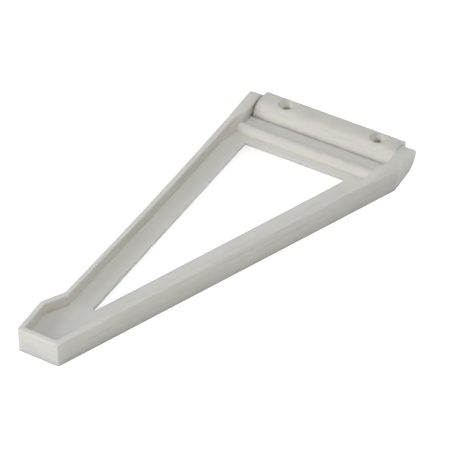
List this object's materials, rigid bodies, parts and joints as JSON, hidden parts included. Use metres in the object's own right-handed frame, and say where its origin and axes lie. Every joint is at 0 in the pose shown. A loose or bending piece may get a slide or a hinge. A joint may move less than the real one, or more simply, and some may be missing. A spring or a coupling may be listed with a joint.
{
  "type": "pivoting bracket",
  "caption": "Flat three-cornered moulded swing bracket on a screwed hinge block, which swings out from a wall to hold up a drop leaf.",
  "frame": {"origin": "midway between the two wall screws, on the wall face of the hinge block", "axes": "+X from the hinge along the folded arm, Y along the hinge pins with the support pad on the -Y side, +Z out of the wall"},
  "size_m": [0.2235, 0.1129, 0.0154],
  "materials": {
    "moulded_plastic": "satin moulded, off-white",
    "steel": "plain drawn rod"
  },
  "bodies": {
    "wall_mount": {"hinge_block": "moulded_plastic"},
    "swing_arm": {"arm": "moulded_plastic", "hinge_pin": "steel", "brace_pin": "steel"}
  },
  "joints": [
    {"name": "arm_swing", "type": "hinge", "parent": "wall_mount", "child": "swing_arm", "pos_m": [0.0028, 0, 0.0077], "axis": [0, -1, 0], "range_deg": [0, 100]}
  ]
}
